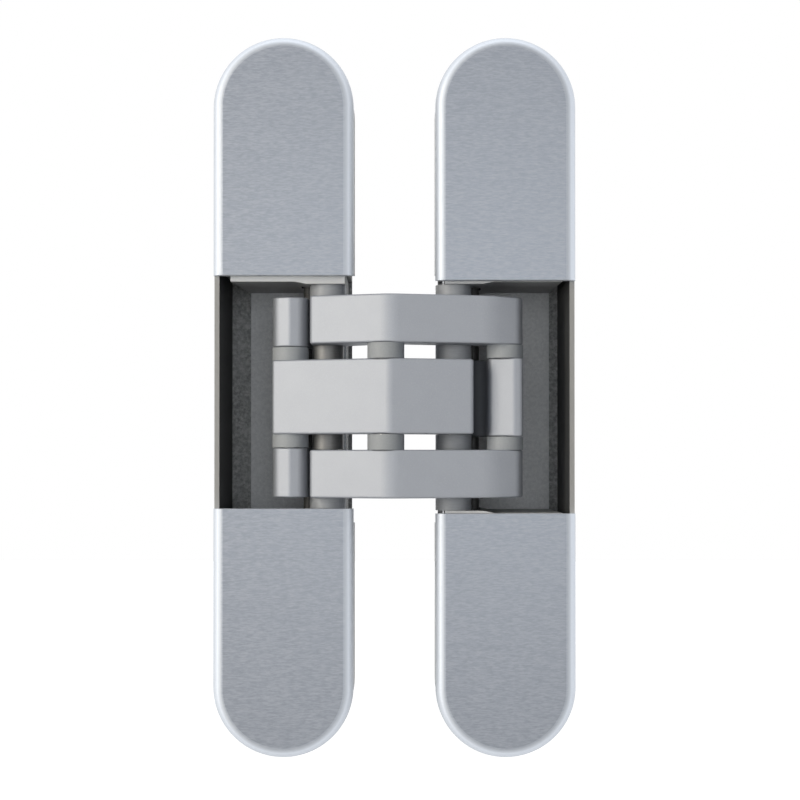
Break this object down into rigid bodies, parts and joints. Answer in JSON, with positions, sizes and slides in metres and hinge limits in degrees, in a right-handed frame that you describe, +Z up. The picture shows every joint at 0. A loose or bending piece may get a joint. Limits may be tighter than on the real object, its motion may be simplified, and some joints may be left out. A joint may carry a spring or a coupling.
{
  "type": "concealed door hinge",
  "caption": "Concealed hinge for flush doors: two mortised leaves with round-ended cover plates, joined by crossing crested arms that fold into the leaves.",
  "frame": {"origin": "centre of the left leaf's screw pattern, on the back face of its lobes", "axes": "+X from the frame leaf to the door leaf, +Y into the leaves from the cover plates, +Z up along the pins"},
  "size_m": [0.0594, 0.0285, 0.118],
  "materials": {
    "housing_cast": "rough cast, dark grey",
    "carriage_cast": "rough cast, mid grey",
    "cover_brushed": "brushed satin",
    "arm_satin": "satin matt silver",
    "washer_polymer": "matt",
    "spacer_steel": "satin",
    "spacer_dark": "polished dark",
    "pin_steel": "ground",
    "pin_dark": "blackened, seen in the shade of its slot",
    "screw_steel": "zinc plated"
  },
  "bodies": {
    "frame_side": {"housing_left": "housing_cast", "carriage_left": "carriage_cast", "cover_left_upper": "cover_brushed", "cover_left_lower": "cover_brushed", "clamp_screws_left": "screw_steel", "pin_front_left": "pin_steel", "spacer_front_left": "spacer_dark", "bushes_front_left": "spacer_steel"},
    "outer_arms": {"outer_arm_upper": "arm_satin", "outer_arm_lower": "arm_satin", "pin_centre": "pin_steel", "washers_centre": "washer_polymer", "pin_end_right": "pin_steel", "washers_end_right": "washer_polymer"},
    "centre_arm": {"centre_arm": "arm_satin", "pin_end_left": "pin_steel", "washers_end_left": "washer_polymer"},
    "left_links": {"link_left_upper": "arm_satin", "link_left_lower": "arm_satin", "pin_rear_left": "pin_dark"},
    "right_link": {"link_right": "arm_satin", "pin_rear_right": "pin_dark"},
    "door_side": {"housing_right": "housing_cast", "carriage_right": "carriage_cast", "cover_right_upper": "cover_brushed", "cover_right_lower": "cover_brushed", "clamp_screws_right": "screw_steel", "pin_front_right": "pin_steel", "spacers_front_right": "spacer_steel"}
  },
  "joints": [
    {"name": "fold", "type": "hinge", "parent": "frame_side", "child": "outer_arms", "pos_m": [0.00708, -0.00618, 0], "axis": [0, 0, 1], "range_deg": [-104.13, 0]},
    {"name": "centre_pivot", "type": "hinge", "parent": "outer_arms", "child": "centre_arm", "pos_m": [0.01681, -0.01343, 0], "axis": [0, 0, 1], "range_deg": [0, 33.5]},
    {"name": "door_pivot", "type": "hinge", "parent": "centre_arm", "child": "door_side", "pos_m": [0.02802, -0.00602, 0], "axis": [0, 0, 1], "range_deg": [-109.4, 0]},
    {"name": "left_link_pivot", "type": "hinge", "parent": "centre_arm", "child": "left_links", "pos_m": [0.00093, -0.00734, 0], "axis": [0, 0, 1], "range_deg": [-22, 0]},
    {"name": "right_link_pivot", "type": "hinge", "parent": "outer_arms", "child": "right_link", "pos_m": [0.03652, -0.00748, 0], "axis": [0, 0, 1], "range_deg": [0, 16.6]}
  ],
  "couplings": [
    {"joint": "centre_pivot", "follows": "fold", "ratio": -0.32104},
    {"joint": "door_pivot", "follows": "fold", "ratio": 1.0496},
    {"joint": "left_link_pivot", "follows": "fold", "ratio": 0.21012},
    {"joint": "right_link_pivot", "follows": "fold", "ratio": -0.15874}
  ]
}
